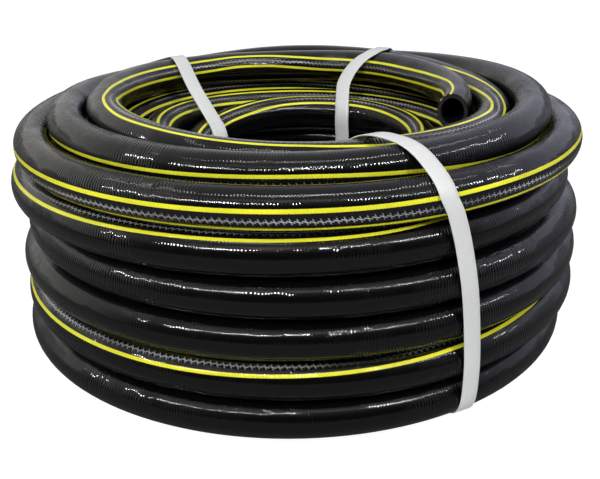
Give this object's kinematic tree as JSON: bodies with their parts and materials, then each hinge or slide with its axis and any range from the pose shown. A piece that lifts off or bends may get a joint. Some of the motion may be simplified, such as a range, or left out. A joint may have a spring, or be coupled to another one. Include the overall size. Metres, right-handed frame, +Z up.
{
  "type": "coiled garden hose",
  "caption": "Round coil of reinforced garden hose with an open plain end, tied into a bundle by flat straps.",
  "frame": {"origin": "on the floor, under the centre of the coil", "axes": "+Z up along the coil's axis, +X to the right and +Y to the back of the coil as seen from the front"},
  "size_m": [0.4196, 0.4193, 0.1803],
  "materials": {
    "hose": "smooth extruded soft PVC with fine cross ripples",
    "strap": "flat polypropylene tape"
  },
  "bodies": {
    "coil": {"hose": "hose", "strap_front": "strap", "strap_back_left": "strap", "strap_back_right": "strap"}
  },
  "joints": []
}
